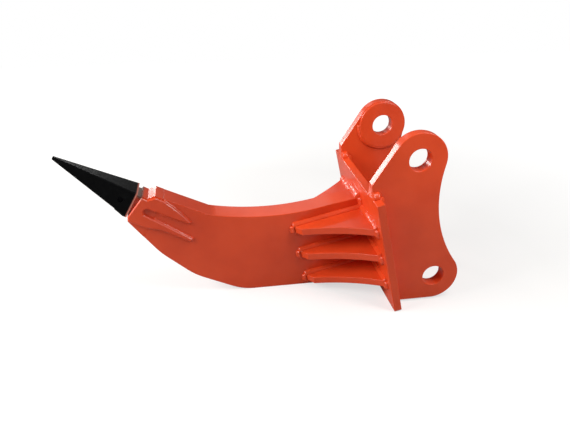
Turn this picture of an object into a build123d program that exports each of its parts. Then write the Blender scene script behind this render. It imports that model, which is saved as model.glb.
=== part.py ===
from build123d import *
from math import asin, atan2, cos, hypot, radians, sin, sqrt, tan
import os

# Driving dimensions in millimetres and degrees
# The origin is the middle of the lower pin bore, Z is up and the tooth points along minus X

# Ears that hang the ripper on the arm
pin_radius = 40.0
upper_pin_x = -99.0
upper_pin_z = 459.0
eye_radius = 95.0
back_edge_radius = 480.0
chin_x = -261.0
chin_z = 379.0
crown_angle = 60.0
rump_angle = -30.0
ear_gap = 372.0
ear_thickness = 36.0

# Wear rings round the bores, on the inner faces of the ears
boss_radius = 93.0
boss_thickness = 10.0
boss_chamfer = 3.0

# Leaning base plate
plate_lean = 12.9
plate_thickness = 28.0
plate_width = 562.0
plate_foot_x = -160.0
floor_z = -102.0
plate_top_z = 329.0

# Curved shank, flame cut from one thick plate
shank_thickness = 90.0
shank_shoulder_x = -983.0
shank_shoulder_z = 316.0
shank_knee_x = -800.0
shank_knee_z = 228.0
shank_saddle_x = -575.0
shank_saddle_z = 207.0
shank_rise_x = -356.0
shank_rise_z = 236.0
shank_root_z = 257.0
shank_toe_x = -1087.0
shank_toe_z = 225.0
shank_shin_x = -985.0
shank_shin_z = 87.0
shank_heel_x = -868.0
shank_heel_z = -18.0
shank_belly_x = -690.0
shin_radius = 300.0
heel_radius = 250.0
belly_radius = 200.0

# Gussets between the shank and the base plate
gusset_thickness = 28.0
gusset_pitch = 110.0
gusset_count = 3
gusset_top_z = 219.0
gusset_length = 271.0
gusset_end_length = 245.0
gusset_end_width = 43.0
gusset_waist_length = 127.0
gusset_waist_width = 100.0
gusset_root_width = 192.0

# Nose adapter, cast and welded on the shank's end
tip_x = -1065.0
tip_z = 286.0
tip_rise = 30.0
adapter_weld_s = -85.0
cheek_thickness = 10.0
cheek_rim_chamfer = 3.5

# Front of the adapter and outline of its forked cheeks, each point as s, t
neck_back = (-37, 46)
neck_front = (-17, 46)
adapter_lip = (-3, -45)
cheek_ledge = 3.0
cheek_brow = (-59, 63)
cheek_back = (-90, 64)
upper_leg_arch = (-160, 46)
upper_leg_tip = (-210, 28)
upper_leg_low = (-206, 22)
fork_high = (-58, 13)
fork_end = (-43, -1)
fork_low = (-58, -14)
lower_leg_tip = (-245, -28)
lower_leg_low = (-243, -41)
lower_leg_bend = (-128, -42)
cheek_heel = (-80, -56)
cheek_toe = (-13, -59)

# Nose of the adapter
nose_root_s = -50.0
nose_root_half = 43.0
nose_end_s = 150.0
nose_end_width = 36.0
nose_end_height = 30.0
nose_end_t = 14.0

# Tooth that slips over the nose
tooth_length = 297.0
tooth_base = 101.0
tooth_tip_width = 13.0
tooth_tip_height = 11.0
tooth_edge_chamfer = 3.0
tooth_tip_t = 30.5
socket_clearance = 1.0
tooth_lug_length = 24.0
tooth_lug_depth = 7.0
tooth_lug_width = 64.0
tooth_wall = 6.0

# Cross pin that locks the tooth, with its retaining ring
lock_s = 43.0
lock_t = 3.0
lock_radius = 10.0
lock_clearance = 0.5
lock_half_length = 41.0
ring_radius = 17.0
ring_thickness = 9.0
ring_grip = 1.5
ring_seat_y = 27.0

os.makedirs("parts", exist_ok=True)

# Worked-out sizes and places
ear_foot_z = -eye_radius
ear_inner = ear_gap / 2
lean = radians(plate_lean)
plate_slope = tan(lean)
plate_down = (sin(lean), 0, -cos(lean))
plate_ahead = (-cos(lean), 0, -sin(lean))
half_shank = shank_thickness / 2


def plate_front_x(z):
    """X of the base plate's front face at a height."""
    return plate_foot_x - (z - floor_z) * plate_slope


def unit(dx, dz):
    """Direction of length one."""
    length = hypot(dx, dz)
    return dx / length, dz / length


# Frame of the tip: s runs out along the nose, t runs up across it
rise = radians(tip_rise)
nose_way = (-cos(rise), 0, sin(rise))
tip_side = Plane(origin=(tip_x, 0, tip_z), x_dir=nose_way, z_dir=(0, 1, 0))
tip_plan = Plane(origin=(tip_x, 0, tip_z), x_dir=nose_way, z_dir=(sin(rise), 0, cos(rise)))


def tip_point(place):
    """X and Z of a point that is given as s, t."""
    s, t = place
    return tip_x - s * cos(rise) + t * sin(rise), tip_z + s * sin(rise) + t * cos(rise)


# Ears
upper_eye = (upper_pin_x, upper_pin_z)
pin_gap = hypot(upper_pin_x, upper_pin_z)
back_reach = sqrt((eye_radius + back_edge_radius) ** 2 - (pin_gap / 2) ** 2)
back_way = (upper_pin_z / pin_gap, -upper_pin_x / pin_gap)
back_centre = (
    upper_pin_x / 2 + back_reach * back_way[0],
    upper_pin_z / 2 + back_reach * back_way[1],
)
chin_run = hypot(upper_pin_x - chin_x, upper_pin_z - chin_z)
brow_angle = atan2(upper_pin_z - chin_z, upper_pin_x - chin_x) + asin(eye_radius / chin_run)


def eye_point(centre, way):
    """Point on the rim of an eye in a given direction from its pin."""
    return centre[0] + eye_radius * way[0], centre[1] + eye_radius * way[1]


def ear_outline():
    """Side outline of an ear, open where it stands on the base plate."""
    brow = eye_point(upper_eye, (-sin(brow_angle), cos(brow_angle)))
    crown = eye_point(upper_eye, (cos(radians(crown_angle)), sin(radians(crown_angle))))
    nape_way = unit(back_centre[0] - upper_pin_x, back_centre[1] - upper_pin_z)
    nape = eye_point(upper_eye, nape_way)
    waist = (back_centre[0] - back_edge_radius, back_centre[1])
    hip_way = unit(back_centre[0], back_centre[1])
    hip = eye_point((0, 0), hip_way)
    rump = eye_point((0, 0), (cos(radians(rump_angle)), sin(radians(rump_angle))))
    foot_front = (plate_front_x(ear_foot_z), ear_foot_z)
    plate_top_front = (plate_front_x(plate_top_z), plate_top_z)
    Line((chin_x, chin_z), brow)
    ThreePointArc(brow, crown, nape)
    ThreePointArc(nape, waist, hip)
    ThreePointArc(hip, rump, (0, ear_foot_z))
    Line((0, ear_foot_z), foot_front)
    Line(foot_front, plate_top_front)
    Line(plate_top_front, (chin_x, chin_z))


def build_ear(side):
    """One ear: side is -1 for the near one and 1 for the far one."""
    inner_face = Plane.XZ.offset(-side * ear_inner)
    with BuildPart() as ear:
        with BuildSketch(inner_face):
            with BuildLine():
                ear_outline()
            make_face()
            with Locations((0, 0), upper_eye):
                Circle(pin_radius, mode=Mode.SUBTRACT)
        extrude(amount=-side * ear_thickness)
        add(base_plate.part, mode=Mode.SUBTRACT)
    return ear.part


# Base plate, drawn in its own plane from its foot upwards
plate_face = Plane(
    origin=(plate_front_x(floor_z), 0, floor_z),
    x_dir=(0, -1, 0),
    z_dir=plate_ahead,
)
plate_rise = (plate_top_z - floor_z) / cos(lean)

with BuildPart() as base_plate:
    with BuildSketch(plate_face):
        Rectangle(plate_width, plate_rise, align=(Align.CENTER, Align.MIN))
    extrude(amount=-plate_thickness)

base_plate.part.label = "base_plate"
export_step(base_plate.part, "parts/base_plate.step")

for side_name, side in (("near", -1), ("far", 1)):
    ear_part = build_ear(side)
    ear_part.label = f"ear_{side_name}"
    export_step(ear_part, f"parts/ear_{side_name}.step")


# Wear rings
for side_name, side in (("near", -1), ("far", 1)):
    for level_name, centre in (("upper", upper_eye), ("lower", (0, 0))):
        with BuildPart() as boss:
            with BuildSketch(Plane.XZ.offset(-side * ear_inner)):
                with Locations(centre):
                    Circle(boss_radius)
                    Circle(pin_radius, mode=Mode.SUBTRACT)
            extrude(amount=side * boss_thickness)
            inner_rim = boss.faces().sort_by(Axis.Y)[0 if side > 0 else -1].outer_wire()
            chamfer(inner_rim.edges(), length=boss_chamfer)
        boss.part.label = f"pin_boss_{level_name}_{side_name}"
        export_step(boss.part, f"parts/pin_boss_{level_name}_{side_name}.step")


# Shank and adapter share one side outline, cut apart where they are welded
def blade_outline():
    """Side outline of the shank with its nose adapter, up to the base plate."""
    root_top = (plate_front_x(shank_root_z), shank_root_z)
    root_foot = (plate_front_x(floor_z), floor_z)
    rise_point = (shank_rise_x, shank_rise_z)
    knee = (shank_knee_x, shank_knee_z)
    shoulder = (shank_shoulder_x, shank_shoulder_z)
    toe = (shank_toe_x, shank_toe_z)
    shin = (shank_shin_x, shank_shin_z)
    heel = (shank_heel_x, shank_heel_z)
    belly = (shank_belly_x, floor_z)
    Line(root_top, rise_point)
    ThreePointArc(rise_point, (shank_saddle_x, shank_saddle_z), knee)
    Line(knee, shoulder)
    Polyline(shoulder, tip_point(neck_back), tip_point(neck_front), tip_point(adapter_lip), toe)
    FilletPolyline(
        toe,
        shin,
        heel,
        belly,
        root_foot,
        radius=(shin_radius, heel_radius, belly_radius),
    )
    Line(root_foot, root_top)


weld_plane = Plane(
    origin=tip_side.from_local_coords((adapter_weld_s, 0, 0)),
    x_dir=(0, -1, 0),
    z_dir=nose_way,
)

with BuildPart() as shank:
    with BuildSketch(Plane.XZ):
        with BuildLine():
            blade_outline()
        make_face()
    extrude(amount=half_shank, both=True)
    split(bisect_by=weld_plane, keep=Keep.BOTTOM)

shank.part.label = "shank"
export_step(shank.part, "parts/shank.step")


# Gussets, drawn in planes that stand square to the base plate
def build_gusset(row, side):
    """Gusset of a row counted from the top, on one side of the shank."""
    top_z = gusset_top_z - row * gusset_pitch * cos(lean)
    corner = (plate_front_x(top_z), side * half_shank, top_z)
    gusset_face = Plane(origin=corner, x_dir=plate_ahead, z_dir=plate_down)
    out = 1 if gusset_face.y_dir.Y * side > 0 else -1
    with BuildPart() as gusset:
        with BuildSketch(gusset_face):
            with BuildLine():
                Line((0, 0), (gusset_length, 0))
                Line((gusset_length, 0), (gusset_end_length, out * gusset_end_width))
                ThreePointArc(
                    (gusset_end_length, out * gusset_end_width),
                    (gusset_waist_length, out * gusset_waist_width),
                    (0, out * gusset_root_width),
                )
                Line((0, out * gusset_root_width), (0, 0))
            make_face()
        extrude(amount=gusset_thickness)
    return gusset.part


for row in range(gusset_count):
    for side_name, side in (("near", -1), ("far", 1)):
        gusset_part = build_gusset(row, side)
        gusset_part.label = f"gusset_{side_name}_{row + 1}"
        export_step(gusset_part, f"parts/gusset_{side_name}_{row + 1}.step")


# Nose adapter
def cheek_outline():
    """Forked cheek of the adapter, in the tip's s and t."""
    ledge_share = cheek_ledge / (neck_front[1] - adapter_lip[1])
    cheek_front = (
        neck_front[0] + ledge_share * (adapter_lip[0] - neck_front[0]),
        neck_front[1] - cheek_ledge,
    )
    cheek_neck = (neck_back[0], neck_back[1] - cheek_ledge)
    Polyline(fork_high, upper_leg_low, upper_leg_tip)
    ThreePointArc(upper_leg_tip, upper_leg_arch, cheek_back)
    Polyline(cheek_back, cheek_brow, cheek_neck, cheek_front, adapter_lip, cheek_toe)
    Polyline(cheek_toe, cheek_heel, lower_leg_bend, lower_leg_low, lower_leg_tip, fork_low)
    ThreePointArc(fork_low, fork_end, fork_high)


ring_plane = tip_side.offset(ring_seat_y)


def nose_span(s, root, end):
    """A size of the nose at s, between its root and its end."""
    share = (s - nose_root_s) / (nose_end_s - nose_root_s)
    return root + share * (end - root)


def taper(start_s, start_t, start_width, start_height, end_s, end_t, end_width, end_height):
    """Square-edged bar between two rectangles that face along the nose."""
    with BuildPart() as bar:
        with BuildSketch(tip_side):
            with BuildLine():
                Polyline(
                    (start_s, start_t - start_height / 2),
                    (start_s, start_t + start_height / 2),
                    (end_s, end_t + end_height / 2),
                    (end_s, end_t - end_height / 2),
                    close=True,
                )
            make_face()
        extrude(amount=tooth_base, both=True)
        with BuildSketch(tip_plan):
            with BuildLine():
                Polyline(
                    (start_s, -start_width / 2),
                    (start_s, start_width / 2),
                    (end_s, end_width / 2),
                    (end_s, -end_width / 2),
                    close=True,
                )
            make_face()
        extrude(amount=tooth_base, both=True, mode=Mode.INTERSECT)
    return bar.part


nose = taper(
    nose_root_s, 0, 2 * nose_root_half, 2 * nose_root_half,
    nose_end_s, nose_end_t, nose_end_width, nose_end_height,
)
tooth_body = taper(
    0, 0, tooth_base, tooth_base,
    tooth_length, tooth_tip_t, tooth_tip_width, tooth_tip_height,
)
socket = taper(
    0,
    nose_span(0, 0, nose_end_t),
    nose_span(0, 2 * nose_root_half, nose_end_width) + 2 * socket_clearance,
    nose_span(0, 2 * nose_root_half, nose_end_height) + 2 * socket_clearance,
    nose_end_s,
    nose_end_t,
    nose_end_width + 2 * socket_clearance,
    nose_end_height + 2 * socket_clearance,
)

with BuildPart() as nose_adapter:
    with BuildSketch(Plane.XZ):
        with BuildLine():
            blade_outline()
        make_face()
    extrude(amount=half_shank, both=True)
    split(bisect_by=weld_plane, keep=Keep.TOP)
    for side in (-1, 1):
        with BuildSketch(tip_side.offset(side * half_shank)):
            with BuildLine():
                cheek_outline()
            make_face()
        extrude(amount=side * cheek_thickness)
    cheek_rims = nose_adapter.edges().group_by(Axis.Y)
    chamfer(cheek_rims[0] + cheek_rims[-1], length=cheek_rim_chamfer)
    add(nose)
    with BuildSketch(tip_side):
        with Locations((lock_s, lock_t)):
            Circle(lock_radius + lock_clearance)
    extrude(amount=shank_thickness, both=True, mode=Mode.SUBTRACT)
    # Seat of the retaining ring, open to the far side
    with BuildSketch(ring_plane):
        with Locations((lock_s, lock_t)):
            Circle(ring_radius)
    extrude(amount=-ring_thickness, mode=Mode.SUBTRACT)
    with BuildSketch(ring_plane):
        with Locations((lock_s, lock_t)):
            Circle(ring_radius + lock_clearance)
    extrude(amount=shank_thickness, mode=Mode.SUBTRACT)

nose_adapter.part.label = "nose_adapter"
export_step(nose_adapter.part, "parts/nose_adapter.step")


# Tooth
with BuildPart() as tooth:
    add(tooth_body)
    long_edges = tooth.edges().sort_by(SortBy.LENGTH)[-4:]
    chamfer(long_edges, length=tooth_edge_chamfer)
    # Prying lug under the rim
    with BuildSketch(tip_side):
        with BuildLine():
            Polyline(
                (0, -tooth_base / 2 + tooth_wall),
                (0, -tooth_base / 2 - tooth_lug_depth),
                (tooth_lug_length / 2, -tooth_base / 2 - tooth_lug_depth),
                (2 * tooth_lug_length, -tooth_base / 2 + tooth_wall),
                close=True,
            )
        make_face()
    extrude(amount=tooth_lug_width / 2, both=True)
    # Socket, a parallel gap wider than the nose all round
    add(socket, mode=Mode.SUBTRACT)
    with BuildSketch(tip_side):
        with Locations((lock_s, lock_t)):
            Circle(lock_radius + lock_clearance)
    extrude(amount=tooth_base, both=True, mode=Mode.SUBTRACT)

tooth.part.label = "tooth"
export_step(tooth.part, "parts/tooth.step")


# Cross pin, waisted where the ring on the far side of the nose grips it
with BuildPart() as tooth_pin:
    with BuildSketch(tip_side):
        with Locations((lock_s, lock_t)):
            Circle(lock_radius)
    extrude(amount=lock_half_length, both=True)
    with BuildSketch(ring_plane):
        with Locations((lock_s, lock_t)):
            Circle(lock_radius)
            Circle(lock_radius - ring_grip, mode=Mode.SUBTRACT)
    extrude(amount=-ring_thickness, mode=Mode.SUBTRACT)

tooth_pin.part.label = "tooth_pin"
export_step(tooth_pin.part, "parts/tooth_pin.step")

with BuildPart() as pin_retainer:
    with BuildSketch(ring_plane):
        with Locations((lock_s, lock_t)):
            Circle(ring_radius)
            Circle(lock_radius - ring_grip, mode=Mode.SUBTRACT)
    extrude(amount=-ring_thickness)

pin_retainer.part.label = "pin_retainer"
export_step(pin_retainer.part, "parts/pin_retainer.step")
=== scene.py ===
import math

import bpy
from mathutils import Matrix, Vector


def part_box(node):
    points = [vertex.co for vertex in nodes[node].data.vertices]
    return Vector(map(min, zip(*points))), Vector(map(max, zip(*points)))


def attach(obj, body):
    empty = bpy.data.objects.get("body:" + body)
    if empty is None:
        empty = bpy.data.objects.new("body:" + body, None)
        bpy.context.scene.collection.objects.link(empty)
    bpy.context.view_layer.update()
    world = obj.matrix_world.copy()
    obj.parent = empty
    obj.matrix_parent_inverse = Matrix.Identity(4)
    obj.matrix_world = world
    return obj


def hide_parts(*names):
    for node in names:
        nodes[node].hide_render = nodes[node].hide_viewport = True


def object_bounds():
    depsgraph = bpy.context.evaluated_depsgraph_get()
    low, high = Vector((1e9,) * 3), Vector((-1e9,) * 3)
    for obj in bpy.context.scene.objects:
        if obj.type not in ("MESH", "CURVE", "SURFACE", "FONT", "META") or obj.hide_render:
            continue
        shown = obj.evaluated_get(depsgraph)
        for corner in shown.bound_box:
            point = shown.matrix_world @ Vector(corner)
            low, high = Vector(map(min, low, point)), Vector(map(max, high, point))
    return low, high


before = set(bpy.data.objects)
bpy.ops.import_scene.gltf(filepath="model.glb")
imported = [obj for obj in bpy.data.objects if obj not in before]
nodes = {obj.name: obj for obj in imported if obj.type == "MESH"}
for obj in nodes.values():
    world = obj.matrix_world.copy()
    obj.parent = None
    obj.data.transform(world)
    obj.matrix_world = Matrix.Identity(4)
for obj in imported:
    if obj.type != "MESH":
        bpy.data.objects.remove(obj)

cadLow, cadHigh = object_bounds()
print("loaded", len(nodes), "nodes")


# Small helpers

def colour(hexCode):  # sRGB hex to the linear colour that the sockets want
    parts = [int(hexCode[i:i + 2], 16) / 255 for i in (1, 3, 5)]
    return [p / 12.92 if p <= 0.04045 else ((p + 0.055) / 1.055) ** 2.4 for p in parts] + [1.0]


def addNode(tree, kind, settings, inputs):  # a socket in inputs is linked, anything else is typed in
    node = tree.nodes.new(kind)
    for key, value in settings.items():
        setattr(node, key, value)
    for key, value in inputs.items():
        if isinstance(value, bpy.types.NodeSocket):
            tree.links.new(value, node.inputs[key])
        else:
            node.inputs[key].default_value = value
    return node


def newMaterial(name):  # empty node tree with an output and object coordinates
    material = bpy.data.materials.new(name)
    material.use_nodes = True
    tree = material.node_tree
    tree.nodes.clear()
    output = addNode(tree, "ShaderNodeOutputMaterial", {}, {})
    place = addNode(tree, "ShaderNodeTexCoord", {}, {}).outputs["Object"]
    return material, tree, output, place


def deselect():
    bpy.ops.object.select_all(action="DESELECT")


def makeActive(piece):
    deselect()
    piece.select_set(True)
    bpy.context.view_layer.objects.active = piece


def applyAll(piece):  # every modifier, top to bottom
    makeActive(piece)
    for modifier in list(piece.modifiers):
        bpy.ops.object.modifier_apply(modifier=modifier.name)


def setMaterial(piece, material):
    piece.data.materials.clear()
    piece.data.materials.append(material)


def finishPiece(piece, name, material):
    piece.name = name
    piece.data.name = name
    setMaterial(piece, material)
    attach(piece, "root")


# Frame of the tip in metres: s runs out along the nose, t runs up across it
tipPlace = Vector((-1.065, 0, 0.286))
noseWay = Vector((-math.cos(math.radians(30)), 0, math.sin(math.radians(30))))
acrossWay = Vector((math.sin(math.radians(30)), 0, math.cos(math.radians(30))))


def tipPoint(s, t, y):
    return tipPlace + s * noseWay + t * acrossWay + Vector((0, y, 0))


# Finishes

enamelLook = {
    "body": "#E84E23",      # safety orange straight from the gun
    "thin": "#DC451D",      # where the coat is a little thin
    "cloudSize": 0.16,      # metres, drift of the spray passes
    "peelSize": 0.0045,     # orange peel, real 1 to 3 mm, drawn coarser so that it shows
    "peelHeight": 0.000015,
    "rollSize": 0.07,       # waviness of hot-rolled plate
    "rollHeight": 0.0008,
    "roughLow": 0.28,
    "roughHigh": 0.38,
    "bare": "#7A5A4C",      # scale that shows through where the gun didn't reach
    "bareReach": 0.011,
}


def makeEnamel(name, look, bareLine=None):  # alkyd enamel sprayed on steel: gloss, orange peel, faint drift in tone
    material, tree, output, place = newMaterial(name)
    cloud = addNode(tree, "ShaderNodeTexNoise", {}, {
        "Vector": place, "Scale": 1 / look["cloudSize"], "Detail": 3.0, "Roughness": 0.55})
    tone = addNode(tree, "ShaderNodeMapRange", {}, {
        "Value": cloud.outputs["Fac"], "From Min": 0.35, "From Max": 0.7, "To Min": 0.0, "To Max": 1.0})
    paint = addNode(tree, "ShaderNodeMix", {"data_type": "RGBA"}, {
        "Factor": tone.outputs["Result"], 6: colour(look["body"]), 7: colour(look["thin"])}).outputs[2]
    dust = addNode(tree, "ShaderNodeTexNoise", {}, {
        "Vector": place, "Scale": 1 / 0.012, "Detail": 6.0, "Roughness": 0.7})
    if bareLine:  # a line along Y that the paint misses, with a ragged edge
        flat = addNode(tree, "ShaderNodeVectorMath", {"operation": "MULTIPLY"}, {0: place, 1: (1, 0, 1)})
        gap = addNode(tree, "ShaderNodeVectorMath", {"operation": "DISTANCE"}, {
            0: flat.outputs["Vector"], 1: (bareLine.x, 0, bareLine.z)})
        ragged = addNode(tree, "ShaderNodeMath", {"operation": "MULTIPLY_ADD"}, {
            0: dust.outputs["Fac"], 1: look["bareReach"], 2: gap.outputs["Value"]})
        missed = addNode(tree, "ShaderNodeMapRange", {}, {
            "Value": ragged.outputs[0], "From Min": look["bareReach"], "From Max": 2 * look["bareReach"],
            "To Min": 1.0, "To Max": 0.0})
        paint = addNode(tree, "ShaderNodeMix", {"data_type": "RGBA"}, {
            "Factor": missed.outputs["Result"], 6: paint, 7: colour(look["bare"])}).outputs[2]
    rough = addNode(tree, "ShaderNodeMapRange", {}, {
        "Value": dust.outputs["Fac"], "From Min": 0.3, "From Max": 0.7,
        "To Min": look["roughLow"], "To Max": look["roughHigh"]})
    peel = addNode(tree, "ShaderNodeTexNoise", {}, {
        "Vector": place, "Scale": 1 / look["peelSize"], "Detail": 2.0, "Roughness": 0.5})
    roll = addNode(tree, "ShaderNodeTexNoise", {}, {
        "Vector": place, "Scale": 1 / look["rollSize"], "Detail": 2.0, "Roughness": 0.5})
    rollBump = addNode(tree, "ShaderNodeBump", {}, {
        "Height": roll.outputs["Fac"], "Strength": 1.0, "Distance": look["rollHeight"]})
    peelBump = addNode(tree, "ShaderNodeBump", {}, {
        "Height": peel.outputs["Fac"], "Strength": 1.0, "Distance": look["peelHeight"],
        "Normal": rollBump.outputs["Normal"]})
    shader = addNode(tree, "ShaderNodeBsdfPrincipled", {}, {
        "Base Color": paint, "Roughness": rough.outputs["Result"], "IOR": 1.5,
        "Specular IOR Level": 0.4, "Coat Weight": 0.25, "Coat Roughness": 0.08,
        "Normal": peelBump.outputs["Normal"]})
    tree.links.new(shader.outputs["BSDF"], output.inputs["Surface"])
    return material


orangeEnamel = makeEnamel("orange_enamel_on_rolled_plate", enamelLook)
castEnamel = makeEnamel("orange_enamel_on_casting", enamelLook, tipPoint(-0.008, 0.043, 0))

toothLook = {
    "body": "#030304",
    "worn": "#0A0B0C",      # bluish grey where the coat is rubbed
    "rimHighlight": "#C87A6A",  # painted highlight: a pale line along the rim
    "rimHighlightReach": 0.0045,
    "scaleSize": 0.006,     # forging scale under the paint
    "scaleHeight": 0.0002,
}


def makeToothBlack(name, look):  # black lacquer on a forged tooth: satin, pebbled by scale, with a painted highlight as a pale line at the rim
    material, tree, output, place = newMaterial(name)
    rub = addNode(tree, "ShaderNodeTexNoise", {}, {
        "Vector": place, "Scale": 1 / 0.03, "Detail": 5.0, "Roughness": 0.65})
    tone = addNode(tree, "ShaderNodeMapRange", {}, {
        "Value": rub.outputs["Fac"], "From Min": 0.5, "From Max": 0.75, "To Min": 0.0, "To Max": 1.0})
    mixed = addNode(tree, "ShaderNodeMix", {"data_type": "RGBA"}, {
        "Factor": tone.outputs["Result"], 6: colour(look["body"]), 7: colour(look["worn"])})
    # painted highlight: pale at the rim, fading out over a few mm towards the point
    along = addNode(tree, "ShaderNodeVectorMath", {"operation": "DOT_PRODUCT"}, {0: place, 1: noseWay})
    rimStart = tipPlace.dot(noseWay) + look["rimHighlightReach"] / 2
    rimGlint = addNode(tree, "ShaderNodeMapRange", {}, {
        "Value": along.outputs["Value"], "From Min": rimStart, "From Max": rimStart + look["rimHighlightReach"],
        "To Min": 1.0, "To Max": 0.0})
    rimGlinted = addNode(tree, "ShaderNodeMix", {"data_type": "RGBA"}, {
        "Factor": rimGlint.outputs["Result"], 6: mixed.outputs[2], 7: colour(look["rimHighlight"])})
    rough = addNode(tree, "ShaderNodeMapRange", {}, {
        "Value": rub.outputs["Fac"], "From Min": 0.3, "From Max": 0.7, "To Min": 0.42, "To Max": 0.58})
    grain = addNode(tree, "ShaderNodeTexNoise", {}, {
        "Vector": place, "Scale": 1 / look["scaleSize"], "Detail": 4.0, "Roughness": 0.6})
    bump = addNode(tree, "ShaderNodeBump", {}, {
        "Height": grain.outputs["Fac"], "Strength": 1.0, "Distance": look["scaleHeight"]})
    shader = addNode(tree, "ShaderNodeBsdfPrincipled", {}, {
        "Base Color": rimGlinted.outputs[2], "Roughness": rough.outputs["Result"], "IOR": 1.5,
        "Specular IOR Level": 0.08, "Normal": bump.outputs["Normal"]})
    tree.links.new(shader.outputs["BSDF"], output.inputs["Surface"])
    return material


toothBlack = makeToothBlack("black_lacquer_on_forged_steel", toothLook)

pinLook = {"body": "#15161A", "stain": "#0B0B0C", "turnPitch": 0.0012}


def makePinSteel(name, look):  # turned pin, hardened and black oiled: dark metal with fine rings
    material, tree, output, place = newMaterial(name)
    stain = addNode(tree, "ShaderNodeTexNoise", {}, {
        "Vector": place, "Scale": 1 / 0.01, "Detail": 5.0, "Roughness": 0.6})
    mixed = addNode(tree, "ShaderNodeMix", {"data_type": "RGBA"}, {
        "Factor": stain.outputs["Fac"], 6: colour(look["body"]), 7: colour(look["stain"])})
    rings = addNode(tree, "ShaderNodeTexWave", {"wave_type": "BANDS", "bands_direction": "Y"}, {
        "Vector": place, "Scale": 0.314 / look["turnPitch"], "Distortion": 0.4, "Detail": 1.0})
    bump = addNode(tree, "ShaderNodeBump", {}, {
        "Height": rings.outputs["Fac"], "Strength": 0.6, "Distance": 0.0001})
    rough = addNode(tree, "ShaderNodeMapRange", {}, {
        "Value": stain.outputs["Fac"], "From Min": 0.3, "From Max": 0.7, "To Min": 0.34, "To Max": 0.55})
    shader = addNode(tree, "ShaderNodeBsdfPrincipled", {}, {
        "Base Color": mixed.outputs[2], "Metallic": 1.0, "Roughness": rough.outputs["Result"],
        "Normal": bump.outputs["Normal"]})
    tree.links.new(shader.outputs["BSDF"], output.inputs["Surface"])
    return material


pinSteel = makePinSteel("black_oiled_turned_steel", pinLook)

ringLook = {"body": "#17181A", "bloom": "#2B2C2E"}


def makeRubber(name, look):  # moulded polyurethane ring: dead matt with a pale bloom
    material, tree, output, place = newMaterial(name)
    bloom = addNode(tree, "ShaderNodeTexNoise", {}, {
        "Vector": place, "Scale": 1 / 0.006, "Detail": 4.0, "Roughness": 0.6})
    mixed = addNode(tree, "ShaderNodeMix", {"data_type": "RGBA"}, {
        "Factor": bloom.outputs["Fac"], 6: colour(look["body"]), 7: colour(look["bloom"])})
    bump = addNode(tree, "ShaderNodeBump", {}, {
        "Height": bloom.outputs["Fac"], "Strength": 0.5, "Distance": 0.0002})
    shader = addNode(tree, "ShaderNodeBsdfPrincipled", {}, {
        "Base Color": mixed.outputs[2], "Roughness": 0.8, "Normal": bump.outputs["Normal"]})
    tree.links.new(shader.outputs["BSDF"], output.inputs["Surface"])
    return material


ringRubber = makeRubber("moulded_polyurethane", ringLook)
print("finishes ready")


# Flame-cut plates with ground edges

plateEdges = {
    "width": 0.0022,      # radius that the grinder and the paint leave on an edge
    "segments": 3,
    "sharpAngle": 32,     # degrees
}


def softenNode(nodeName, pieceName, edges, material):
    piece = bpy.data.objects.new(pieceName, nodes[nodeName].data.copy())
    bpy.context.scene.collection.objects.link(piece)
    makeActive(piece)
    bpy.ops.object.mode_set(mode="EDIT")
    bpy.ops.mesh.select_all(action="SELECT")
    bpy.ops.mesh.remove_doubles(threshold=0.00002)
    bpy.ops.mesh.dissolve_limited(angle_limit=math.radians(0.15))
    bpy.ops.object.mode_set(mode="OBJECT")
    bevel = piece.modifiers.new("edges", "BEVEL")
    bevel.width = edges["width"]
    bevel.segments = edges["segments"]
    bevel.limit_method = "ANGLE"
    bevel.angle_limit = math.radians(edges["sharpAngle"])
    bevel.miter_outer = "MITER_ARC"
    weighted = piece.modifiers.new("normals", "WEIGHTED_NORMAL")
    weighted.weight = 100
    bpy.ops.object.shade_smooth_by_angle(angle=math.radians(40))
    applyAll(piece)
    finishPiece(piece, pieceName, material)
    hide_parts(nodeName)
    return piece


castNodes = ["nose_adapter"]
plateNodes = sorted(n for n in nodes if n not in ("nose_adapter", "tooth", "tooth_pin", "pin_retainer"))
for nodeName in plateNodes:
    setMaterial(nodes[nodeName], orangeEnamel)
    softenNode(nodeName, nodeName + "_ground", plateEdges, orangeEnamel)
print("softened", len(plateNodes), "plates")

castEdges = {"width": 0.0018, "segments": 2, "sharpAngle": 28}
setMaterial(nodes["nose_adapter"], castEnamel)
softenNode("nose_adapter", "nose_adapter_cast", castEdges, castEnamel)

toothEdges = {"width": 0.0016, "segments": 2, "sharpAngle": 32}
setMaterial(nodes["tooth"], toothBlack)
softenNode("tooth", "tooth_forged", toothEdges, toothBlack)
setMaterial(nodes["tooth_pin"], pinSteel)
setMaterial(nodes["pin_retainer"], ringRubber)
print("tooth, adapter and pin dressed")


# Weld beads, painted over

fineBead = {
    "leg": 0.006,         # radius of the fillet on the corner line
    "ripple": 0.005,      # length of one ripple
    "swell": 1.06,        # how far the middle of a ripple stands out
    "crown": 0.82,        # how full the bead's face is, 0.71 is flat
}
filletBead = {"leg": 0.0125, "ripple": 0.0072, "swell": 1.05, "crown": 0.80}
heavyBead = {"leg": 0.0185, "ripple": 0.0090, "swell": 1.06, "crown": 0.90}


def seamCurve(points):
    bpy.ops.curve.primitive_bezier_curve_add()
    seam = bpy.context.object
    seam.data.splines.clear()
    spline = seam.data.splines.new("POLY")
    spline.points.add(len(points) - 1)
    for corner, place in zip(spline.points, points):
        corner.co = (*place, 1)
    seam.data.dimensions = "3D"
    return seam


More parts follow.
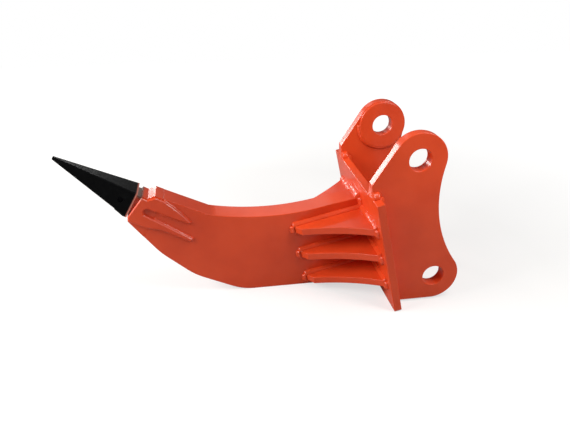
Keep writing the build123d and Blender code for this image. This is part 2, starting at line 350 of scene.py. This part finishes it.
def weldBead(points, look):  # one ripple, modelled once, rowed up and bent along the seam
    deselect()
    seam = seamCurve(points)
    run = sum((Vector(b) - Vector(a)).length for a, b in zip(points, points[1:]))
    count = max(2, round(run / look["ripple"]))
    step = run / count
    deselect()
    bpy.ops.mesh.primitive_cylinder_add(
        vertices=8, radius=look["leg"], depth=step, end_fill_type="NOTHING",
        location=(step / 2, 0, 0), rotation=(0, math.pi / 2, 0))
    bead = bpy.context.object
    bpy.ops.object.transform_apply(location=True, rotation=True, scale=True)
    bpy.ops.object.mode_set(mode="EDIT")
    bpy.ops.mesh.select_all(action="DESELECT")
    bpy.ops.object.mode_set(mode="OBJECT")
    for edge in bead.data.edges:  # the long edges, end to end of the ripple
        a, b = (bead.data.vertices[v].co.x for v in edge.vertices)
        edge.select = abs(a - b) > step / 2
    bpy.ops.object.mode_set(mode="EDIT")
    bpy.ops.mesh.subdivide(number_cuts=1)
    bpy.ops.mesh.select_all(action="DESELECT")
    bpy.ops.object.mode_set(mode="OBJECT")
    for vertex in bead.data.vertices:  # the corners between the two plates' directions, drawn in
        vertex.select = abs(abs(vertex.co.y) - abs(vertex.co.z)) < look["leg"] / 4
    bpy.ops.object.mode_set(mode="EDIT")
    bpy.ops.mesh.select_mode(type="VERT")
    bpy.ops.transform.resize(value=(1, look["crown"], look["crown"]))
    bpy.ops.mesh.select_all(action="DESELECT")
    bpy.ops.object.mode_set(mode="OBJECT")
    for vertex in bead.data.vertices:
        vertex.select = abs(vertex.co.x - step / 2) < step / 4
    bpy.ops.object.mode_set(mode="EDIT")
    bpy.ops.transform.resize(value=(1, look["swell"], look["swell"]))
    bpy.ops.transform.translate(value=(step * 0.12, 0, 0))
    bpy.ops.mesh.select_all(action="DESELECT")
    bpy.ops.object.mode_set(mode="OBJECT")
    row = bead.modifiers.new("row", "ARRAY")
    row.count = count
    row.use_relative_offset = False
    row.use_constant_offset = True
    row.constant_offset_displace = (step, 0, 0)
    row.use_merge_vertices = True
    row.merge_threshold = 0.00005
    applyAll(bead)
    for end in (0, run):  # the arc starts and stops small, and the ends are closed
        for vertex in bead.data.vertices:
            vertex.select = abs(vertex.co.x - end) < step / 4
        bpy.ops.object.mode_set(mode="EDIT")
        bpy.ops.mesh.select_mode(type="VERT")
        bpy.ops.transform.resize(value=(1, 0.7, 0.7))
        bpy.ops.mesh.edge_face_add()
        bpy.ops.mesh.select_all(action="DESELECT")
        bpy.ops.object.mode_set(mode="OBJECT")
    bend = bead.modifiers.new("bend", "CURVE")
    bend.object = seam
    applyAll(bead)
    bpy.data.objects.remove(seam)
    return bead


wanderTexture = bpy.data.textures.new("bead_wander", "CLOUDS")
wanderTexture.noise_scale = 0.016


def joinBeads(beads, name, wander):  # wander is the unevenness of a hand-laid bead, in metres
    deselect()
    for bead in beads:
        bead.select_set(True)
    bpy.context.view_layer.objects.active = beads[0]
    bpy.ops.object.join()
    joined = bpy.context.object
    uneven = joined.modifiers.new("wander", "DISPLACE")
    uneven.texture = wanderTexture
    uneven.texture_coords = "GLOBAL"
    uneven.strength = wander * 2
    uneven.mid_level = 0.5
    applyAll(joined)
    bpy.ops.object.mode_set(mode="EDIT")
    bpy.ops.mesh.select_all(action="SELECT")
    bpy.ops.mesh.remove_doubles(threshold=0.00002)
    bpy.ops.mesh.normals_make_consistent(inside=False)
    bpy.ops.object.mode_set(mode="OBJECT")
    bpy.ops.object.shade_smooth_by_angle(angle=math.radians(60))
    finishPiece(joined, name, orangeEnamel)
    return joined


def corners(nodeName):  # the node's points, without repeats
    seen = {}
    for vertex in nodes[nodeName].data.vertices:
        seen[tuple(round(c, 5) for c in vertex.co)] = vertex.co.copy()
    return list(seen.values())


def gussetSeams(nodeName):
    points = corners(nodeName)
    inside = min(abs(p.y) for p in points)
    outside = max(abs(p.y) for p in points)
    onShank = sorted((p for p in points if abs(p.y) < inside + 0.0005), key=lambda p: p.x)
    tips = sorted(onShank[:2], key=lambda p: -p.z)
    feet = sorted(onShank[-2:], key=lambda p: -p.z)
    roots = sorted((p for p in points if abs(p.y) > outside - 0.0005), key=lambda p: -p.z)
    return [
        (feet[0], tips[0]), (tips[0], tips[1]), (tips[1], feet[1]),
        (feet[0], roots[0]), (roots[0], roots[-1]), (roots[-1], feet[1]),
    ]


gussetBeads = []
for nodeName in sorted(n for n in nodes if n.startswith("gusset")):
    for seam in gussetSeams(nodeName):
        gussetBeads.append(weldBead(seam, filletBead))
joinBeads(gussetBeads, "weld_gussets", 0.0011)
print("gussets welded")

# The base plate's two faces, from its own corners
plateCorners = corners("base_plate")
plateTop = max(p.z for p in plateCorners)
plateFoot = min(p.z for p in plateCorners)
topFront = min((p for p in plateCorners if p.z > plateTop - 0.02), key=lambda p: p.x)
footFront = min((p for p in plateCorners if p.z < plateFoot + 0.02), key=lambda p: p.x)
topBack = max((p for p in plateCorners if p.z > plateTop - 0.02), key=lambda p: p.x)
footBack = max((p for p in plateCorners if p.z < plateFoot + 0.02), key=lambda p: p.x)


def onPlate(low, high, y, z):  # point on the line low to high at a height
    share = (z - low.z) / (high.z - low.z)
    return Vector((low.x + share * (high.x - low.x), y, z))


shankLow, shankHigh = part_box("shank")
earLow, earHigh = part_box("ear_near")
onFront = [p.z for p in corners("shank") if abs(p.x - onPlate(footFront, topFront, 0, p.z).x) < 0.001]
rootTop = max(onFront)
endGap = 0.015  # a bead stops this far short of a plate's lower edge
plateBeads = []
for y in (shankLow.y, shankHigh.y):
    plateBeads.append(weldBead((
        onPlate(footFront, topFront, y, plateFoot + endGap), onPlate(footFront, topFront, y, rootTop)), filletBead))
plateBeads.append(weldBead((
    onPlate(footFront, topFront, shankLow.y, rootTop), onPlate(footFront, topFront, shankHigh.y, rootTop)), heavyBead))
for side in (-1, 1):
    for y in (side * abs(earHigh.y), side * abs(earLow.y)):
        plateBeads.append(weldBead((
            onPlate(footBack, topBack, y, earLow.z + endGap), onPlate(footBack, topBack, y, topBack.z)), filletBead))
joinBeads(plateBeads, "weld_base_plate", 0.0011)

# Over the top of the base plate the ears carry a fat, lumpy bead
topBeads = []
for side in (-1, 1):
    for y in (side * abs(earHigh.y), side * abs(earLow.y)):
        topBeads.append(weldBead((Vector((topBack.x, y, topBack.z)), Vector((topFront.x, y, plateTop))), heavyBead))
joinBeads(topBeads, "weld_ear_tops", 0.0032)
print("base plate welded")

# Wear rings, welded where the ear leaves room for a bead
ringArcs = {
    "upper": {"centre": (-0.099, 0.459), "first": 178, "last": 322},   # degrees from +X towards +Z
    "lower": {"centre": (0.0, 0.0), "first": 62, "last": 242},
}
ringRadius = 0.093
ringBeads = []
for arc in ringArcs.values():
    steps = range(arc["first"], arc["last"] + 1, 6)
    for y in (earHigh.y, -earHigh.y):
        ringBeads.append(weldBead([Vector((
            arc["centre"][0] + ringRadius * math.cos(math.radians(a)), y,
            arc["centre"][1] + ringRadius * math.sin(math.radians(a)))) for a in steps], {**filletBead, "leg": 0.009}))
joinBeads(ringBeads, "weld_wear_rings", 0.0008)
print("wear rings welded")

# Legs of the adapter's fork, each run as s, t from the weld to its tip and back
forkRuns = {
    "upper": [(-0.090, 0.064), (-0.126, 0.0565), (-0.160, 0.046), (-0.210, 0.028), (-0.206, 0.022), (-0.088, 0.0148)],
    "lower": [(-0.088, -0.0162), (-0.245, -0.028), (-0.243, -0.041), (-0.128, -0.042), (-0.088, -0.0536)],
}
forkBeads = []
for y in (shankLow.y, shankHigh.y):
    for run in forkRuns.values():
        forkBeads.append(weldBead([tipPoint(s, t, y) for s, t in run], fineBead))
joinBeads(forkBeads, "weld_adapter", 0.0007)
print("adapter welded")


# Floor, light and camera

studio = {
    "floorSize": 9,
    "floor": "#A8A6A3",
    "glowNear": 0.62,       # camera only, lifts the floor to white and leaves the shadow
    "glowFar": 1.0,
    "surround": 0.16,
}

bpy.ops.mesh.primitive_plane_add(size=studio["floorSize"], location=(-0.6, 0, cadLow.z))
floor = bpy.context.object
floor.name = "studio_floor"
floorMaterial, tree, output, place = newMaterial("matt_pale_floor")
seen = addNode(tree, "ShaderNodeLightPath", {}, {})
reach = addNode(tree, "ShaderNodeVectorMath", {"operation": "LENGTH"}, {0: place})
glow = addNode(tree, "ShaderNodeMapRange", {}, {
    "Value": reach.outputs["Value"], "From Min": 1.2, "From Max": 3.0,
    "To Min": studio["glowNear"], "To Max": studio["glowFar"]})
lift = addNode(tree, "ShaderNodeMath", {"operation": "MULTIPLY"}, {
    0: seen.outputs["Is Camera Ray"], 1: glow.outputs["Result"]})
shader = addNode(tree, "ShaderNodeBsdfPrincipled", {}, {
    "Base Color": colour(studio["floor"]), "Roughness": 0.9, "Specular IOR Level": 0.0,
    "Emission Color": (1, 1, 1, 1), "Emission Strength": lift.outputs[0]})
tree.links.new(shader.outputs["BSDF"], output.inputs["Surface"])
setMaterial(floor, floorMaterial)

world = bpy.data.worlds.new("studio")
bpy.context.scene.world = world
world.use_nodes = True
tree = world.node_tree
tree.nodes.clear()
output = addNode(tree, "ShaderNodeOutputWorld", {}, {})
seen = addNode(tree, "ShaderNodeLightPath", {}, {})
strength = addNode(tree, "ShaderNodeMapRange", {}, {
    "Value": seen.outputs["Is Camera Ray"], "From Min": 0.0, "From Max": 1.0,
    "To Min": studio["surround"], "To Max": 1.0})
background = addNode(tree, "ShaderNodeBackground", {}, {
    "Color": (1, 1, 1, 1), "Strength": strength.outputs["Result"]})
tree.links.new(background.outputs["Background"], output.inputs["Surface"])

softboxes = {
    "leftKey": {"place": (-3.1, -0.40, 1.60), "aim": (-0.4, 0, 0.2), "size": (1.8, 1.3), "watts": 96},
    "overhead": {"place": (0.5, -0.75, 2.5), "aim": (-0.2, 0, 0.3), "size": (1.2, 0.8), "watts": 20},
    "earFront": {"place": (0.6, -0.9, 1.1), "aim": (-0.1, -0.2, 0.25), "size": (0.5, 0.5), "watts": 9},
    "rearWall": {"place": (-0.55, 3.2, 1.8), "aim": (-0.4, 0, 0.2), "size": (0.8, 1.0), "watts": 2.4},
    "rearStrip": {"place": (-1.40, 2.15, 0.74), "aim": (-0.18, 0, 0.46), "size": (0.5, 0.6), "watts": 14},
}
for name, box in softboxes.items():
    bpy.ops.object.light_add(type="AREA", location=box["place"])
    lamp = bpy.context.object
    lamp.name = name
    lamp.data.shape = "RECTANGLE"
    lamp.data.size, lamp.data.size_y = box["size"]
    lamp.data.energy = box["watts"]
    lamp.visible_camera = False
    away = Vector(box["aim"]) - Vector(box["place"])
    lamp.rotation_euler = away.to_track_quat("-Z", "Y").to_euler()

view = {
    "place": (-0.82107, -1.83479, 1.10492),
    "turn": (63.895, 0.0, -9.364),     # degrees
    "lens": 34.737,                    # on a 36 mm sensor
}
bpy.ops.object.camera_add(location=view["place"], rotation=[math.radians(a) for a in view["turn"]])
camera = bpy.context.object
camera.data.lens = view["lens"]
camera.data.sensor_width = 36.0
bpy.context.scene.camera = camera
bpy.context.scene.view_settings.view_transform = "Standard"
print("studio ready")
